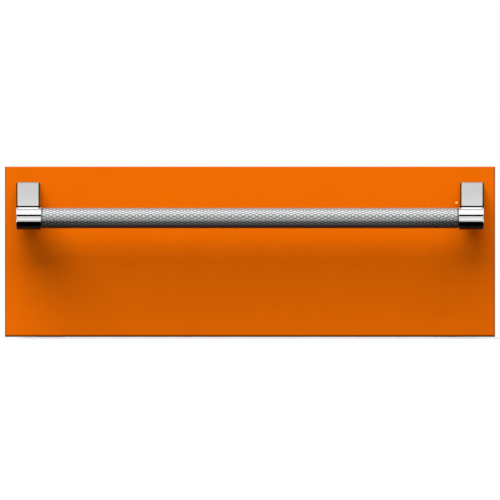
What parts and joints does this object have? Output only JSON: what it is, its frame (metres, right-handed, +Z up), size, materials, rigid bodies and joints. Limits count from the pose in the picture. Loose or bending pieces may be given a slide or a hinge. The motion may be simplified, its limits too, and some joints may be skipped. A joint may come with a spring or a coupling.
{
  "type": "warming drawer",
  "caption": "Built-in warming drawer: insulated heated case, telescopic ball slides, deep steel pan and an orange overlay front with a knurled bar handle.",
  "frame": {"origin": "middle of the width, on the cabinet's face plane and the floor of the cabinet's cut-out", "axes": "+X to the right seen from the front, +Y back into the cabinet, +Z up; the drawer opens along -Y"},
  "size_m": [0.7588, 0.7345, 0.2665],
  "materials": {
    "orange_enamel": "satin",
    "polished_steel": "polished",
    "knurled_steel": "knurled, satin",
    "brushed_stainless": "brushed",
    "zinc_steel": "zinc coated",
    "black_plastic": "fine texture",
    "grey_plastic": "satin",
    "clear_amber": "clear, lit",
    "board_green": "satin",
    "silicone": "matte",
    "fibre": "matted fibre",
    "element_sheath": "heat-tinted",
    "ceramic_white": "matt"
  },
  "bodies": {
    "case": {"anti_tip_bracket": "zinc_steel", "base_pan": "zinc_steel", "base_rails": "zinc_steel", "case_screws": "zinc_steel", "cavity_ceiling": "brushed_stainless", "cavity_floor": "brushed_stainless", "cavity_rear": "brushed_stainless", "cavity_sensors": "zinc_steel", "cavity_side_left": "brushed_stainless", "cavity_side_right": "brushed_stainless", "control_board": "board_green", "control_fascia": "black_plastic", "cord_gland": "black_plastic", "electronics_shelf": "zinc_steel", "element_supports": "zinc_steel", "element_terminals": "ceramic_white", "front_frame": "brushed_stainless", "heating_element": "element_sheath", "insulation_base": "fibre", "insulation_top": "fibre", "insulation_walls": "fibre", "panel_leds": "clear_amber", "power_board": "board_green", "rear_bumpers": "silicone", "rear_panel": "zinc_steel", "side_panel_left": "zinc_steel", "side_panel_right": "zinc_steel", "slide_outer_left": "zinc_steel", "slide_outer_right": "zinc_steel", "terminal_block": "black_plastic", "top_cover": "zinc_steel"},
    "drawer": {"front_skin": "orange_enamel", "front_liner": "brushed_stainless", "front_insulation": "fibre", "front_gasket": "silicone", "indicator_lens": "clear_amber", "handle_bar": "knurled_steel", "handle_bracket_left": "polished_steel", "handle_bracket_right": "polished_steel", "handle_backing_plates": "zinc_steel", "handle_screws": "zinc_steel", "drawer_pan": "brushed_stainless", "drawer_side_left": "zinc_steel", "drawer_side_right": "zinc_steel", "slide_inner_left": "zinc_steel", "slide_inner_right": "zinc_steel", "wire_rack": "brushed_stainless", "vent_guides": "brushed_stainless"},
    "vent_plate": {"vent_slider": "brushed_stainless"},
    "mid_left": {"slide_mid_left": "zinc_steel"},
    "mid_right": {"slide_mid_right": "zinc_steel"},
    "outer_cage_left": {"ball_cage_outer_left": "zinc_steel"},
    "outer_cage_right": {"ball_cage_outer_right": "zinc_steel"},
    "inner_cage_left": {"ball_cage_inner_left": "zinc_steel"},
    "inner_cage_right": {"ball_cage_inner_right": "zinc_steel"},
    "power_key": {"key_power": "grey_plastic"},
    "level_key": {"key_level": "grey_plastic"},
    "timer_key": {"key_timer": "grey_plastic"}
  },
  "joints": [
    {"name": "drawer_slide", "type": "slide", "parent": "case", "child": "drawer", "axis": [0, -1, 0], "range_m": [0, 0.47]},
    {"name": "mid_slide_left", "type": "slide", "parent": "case", "child": "mid_left", "axis": [0, -1, 0], "range_m": [0, 0.235]},
    {"name": "outer_cage_slide_left", "type": "slide", "parent": "case", "child": "outer_cage_left", "axis": [0, -1, 0], "range_m": [0, 0.1175]},
    {"name": "inner_cage_slide_left", "type": "slide", "parent": "case", "child": "inner_cage_left", "axis": [0, -1, 0], "range_m": [0, 0.3525]},
    {"name": "mid_slide_right", "type": "slide", "parent": "case", "child": "mid_right", "axis": [0, -1, 0], "range_m": [0, 0.235]},
    {"name": "outer_cage_slide_right", "type": "slide", "parent": "case", "child": "outer_cage_right", "axis": [0, -1, 0], "range_m": [0, 0.1175]},
    {"name": "inner_cage_slide_right", "type": "slide", "parent": "case", "child": "inner_cage_right", "axis": [0, -1, 0], "range_m": [0, 0.3525]},
    {"name": "vent_slide", "type": "slide", "parent": "drawer", "child": "vent_plate", "axis": [1, 0, 0], "range_m": [0, 0.013]},
    {"name": "power_key_press", "type": "slide", "parent": "case", "child": "power_key", "axis": [0, 1, 0], "range_m": [0, 0.0008], "stiffness_N_per_m": 600, "springref_m": -0.0008},
    {"name": "level_key_press", "type": "slide", "parent": "case", "child": "level_key", "axis": [0, 1, 0], "range_m": [0, 0.0008], "stiffness_N_per_m": 600, "springref_m": -0.0008},
    {"name": "timer_key_press", "type": "slide", "parent": "case", "child": "timer_key", "axis": [0, 1, 0], "range_m": [0, 0.0008], "stiffness_N_per_m": 600, "springref_m": -0.0008}
  ],
  "couplings": [
    {"joint": "mid_slide_left", "follows": "drawer_slide", "ratio": 0.5},
    {"joint": "outer_cage_slide_left", "follows": "drawer_slide", "ratio": 0.25},
    {"joint": "inner_cage_slide_left", "follows": "drawer_slide", "ratio": 0.75},
    {"joint": "mid_slide_right", "follows": "drawer_slide", "ratio": 0.5},
    {"joint": "outer_cage_slide_right", "follows": "drawer_slide", "ratio": 0.25},
    {"joint": "inner_cage_slide_right", "follows": "drawer_slide", "ratio": 0.75}
  ]
}
